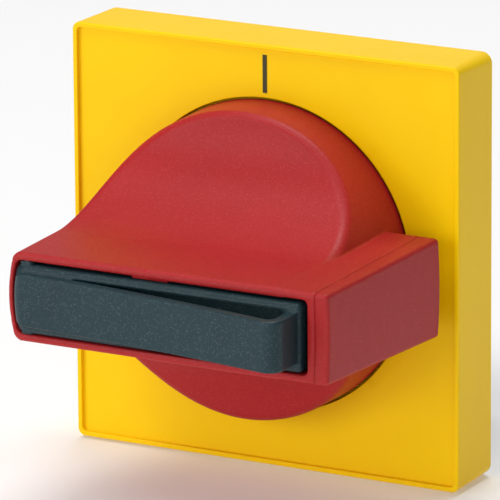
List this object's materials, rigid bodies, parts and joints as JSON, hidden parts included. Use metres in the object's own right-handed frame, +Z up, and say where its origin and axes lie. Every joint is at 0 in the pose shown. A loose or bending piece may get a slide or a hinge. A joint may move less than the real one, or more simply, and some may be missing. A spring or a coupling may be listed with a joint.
{
  "type": "rotary isolator switch",
  "caption": "Door-mounted rotary isolator: square front plate, turning handle with a hinged padlock lever, and a stacked-pole switch body behind.",
  "frame": {"origin": "where the axis of rotation meets the front face of the door, at the centre of the four door screws", "axes": "+Z up and +X right for someone facing the plate, +Y through the door from front to back along the axis of rotation"},
  "size_m": [0.075, 0.0945, 0.075],
  "materials": {
    "yellow_plate": "moulded plastic, satin",
    "grey_print": "pad printed, matt",
    "white_acetal": "moulded acetal",
    "black_rubber": "soft rubber",
    "red_handle": "moulded plastic, fine grain",
    "red_cap": "moulded plastic, fine grain",
    "grey_lever": "moulded plastic, coarse grain",
    "steel": "turned steel",
    "zinc_cast": "die cast zinc",
    "spring_steel": "drawn spring steel",
    "zinc_plated": "zinc plated steel",
    "black_thermoset": "pressed thermoset",
    "copper": "rolled copper"
  },
  "bodies": {
    "housing": {"front_plate": "yellow_plate", "position_marks": "grey_print", "shaft_bush": "white_acetal", "plate_gasket": "black_rubber", "thrust_washer": "steel", "switch_cover": "black_thermoset", "switch_base": "black_thermoset", "clamp_screws": "zinc_plated", "housing_screws": "zinc_plated", "line_contact_1": "copper", "line_contact_2": "copper", "line_contact_3": "copper", "load_contact_1": "copper", "load_contact_2": "copper", "load_contact_3": "copper", "line_jaws": "spring_steel", "load_jaws": "spring_steel", "terminal_clamps": "zinc_plated", "terminal_screws": "zinc_plated", "detent_springs": "spring_steel"},
    "handle": {"handle_body": "red_handle", "handle_end_cap": "red_cap", "lever_pin": "steel", "bolt_spring": "spring_steel", "handle_screw": "zinc_plated", "screw_washer": "zinc_plated", "drive_shaft": "steel", "neck_seal": "black_rubber", "retaining_ring": "spring_steel"},
    "rotor": {"rotor": "white_acetal", "moving_bridge_1": "copper", "moving_bridge_2": "copper", "moving_bridge_3": "copper"},
    "lever": {"padlock_lever": "grey_lever"},
    "bolt": {"lock_bolt": "zinc_cast"}
  },
  "joints": [
    {"name": "handle_turn", "type": "hinge", "parent": "housing", "child": "handle", "pos_m": [0, 0, 0], "axis": [0, 1, 0], "range_deg": [0, 90]},
    {"name": "rotor_turn", "type": "hinge", "parent": "housing", "child": "rotor", "pos_m": [0, 0, 0], "axis": [0, 1, 0], "range_deg": [0, 90], "deforming": ["detent_springs"]},
    {"name": "lever_swing", "type": "hinge", "parent": "handle", "child": "lever", "pos_m": [-0.0233, -0.0541, 0], "axis": [0, 0, -1], "range_deg": [0, 25], "stiffness_Nm_per_rad": 0.01, "springref_deg": -57.3},
    {"name": "bolt_slide", "type": "slide", "parent": "handle", "child": "bolt", "axis": [0, 1, 0], "range_m": [0, 0.0033], "deforming": ["bolt_spring"]}
  ],
  "couplings": [
    {"joint": "rotor_turn", "follows": "handle_turn", "ratio": 1},
    {"joint": "bolt_slide", "follows": "lever_swing", "m_per_rad": 0.00756}
  ]
}
